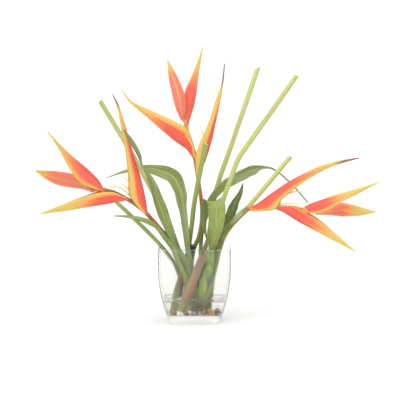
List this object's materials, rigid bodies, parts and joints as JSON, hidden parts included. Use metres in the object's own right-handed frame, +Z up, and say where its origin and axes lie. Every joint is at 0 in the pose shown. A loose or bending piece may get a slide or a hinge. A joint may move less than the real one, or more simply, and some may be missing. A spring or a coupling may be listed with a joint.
{
  "type": "heliconia stem in vase",
  "caption": "Tropical cut flowers with folded coral bracts, strap leaves and bare cut stems, standing in water in a square tapered clear glass vase with pebbles.",
  "frame": {"origin": "middle of the vase's foot, on the plane it rests on", "axes": "+Z up, +X to the right of the arrangement as seen from its front at -Y"},
  "size_m": [0.6726, 0.2445, 0.5524],
  "materials": {
    "glass_vase": "clear, thick pressed glass with a smooth polished surface",
    "water": "stands for clear still water",
    "green_stem": "smooth fresh light green plant stem",
    "flower_stem": "orange-brown rachis over a green stem, satin",
    "bract": "waxy coral red bract with yellow margins",
    "leaf": "satin green leaf with fine parallel veins",
    "bulb": "green leaf bases with pale streaks",
    "root": "wet reddish-brown roots",
    "stalk": "mottled brown and green cut stalk",
    "pebble": "water-worn stone, satin"
  },
  "bodies": {
    "root": {"glass_vase": "glass_vase", "water": "water", "cut_stem_far_left": "green_stem", "cut_stem_low_left": "green_stem", "cut_stem_front": "green_stem", "cut_stem_tall": "green_stem", "cut_stem_bent": "green_stem", "cut_stem_right": "green_stem", "flower_stem_left": "flower_stem", "flower_stem_centre": "flower_stem", "flower_stem_right": "flower_stem", "bract_left_1": "bract", "bract_left_2": "bract", "bract_left_3": "bract", "bract_left_4": "bract", "bract_centre_1": "bract", "bract_centre_2": "bract", "bract_centre_3": "bract", "bract_centre_4": "bract", "bract_right_1": "bract", "bract_right_2": "bract", "bract_right_3": "bract", "bract_right_4": "bract", "sheath_left": "leaf", "sheath_right": "leaf", "leaf_front": "leaf", "leaf_arch_left": "leaf", "leaf_twisted": "leaf", "leaf_arch_right": "leaf", "leaf_dark_right": "leaf", "leaf_low_left": "leaf", "leaf_bulb": "bulb", "bulb_roots": "root", "stalk_front": "stalk", "stalk_back": "stalk", "pebble_red": "pebble", "pebble_grey": "pebble", "pebble_pink": "pebble", "pebble_olive": "pebble", "pebble_tan": "pebble", "pebble_ochre": "pebble", "pebble_dark": "pebble", "pebble_pale": "pebble", "pebble_brown": "pebble", "pebble_white": "pebble", "pebble_cream": "pebble", "pebble_rose": "pebble"}
  },
  "joints": []
}
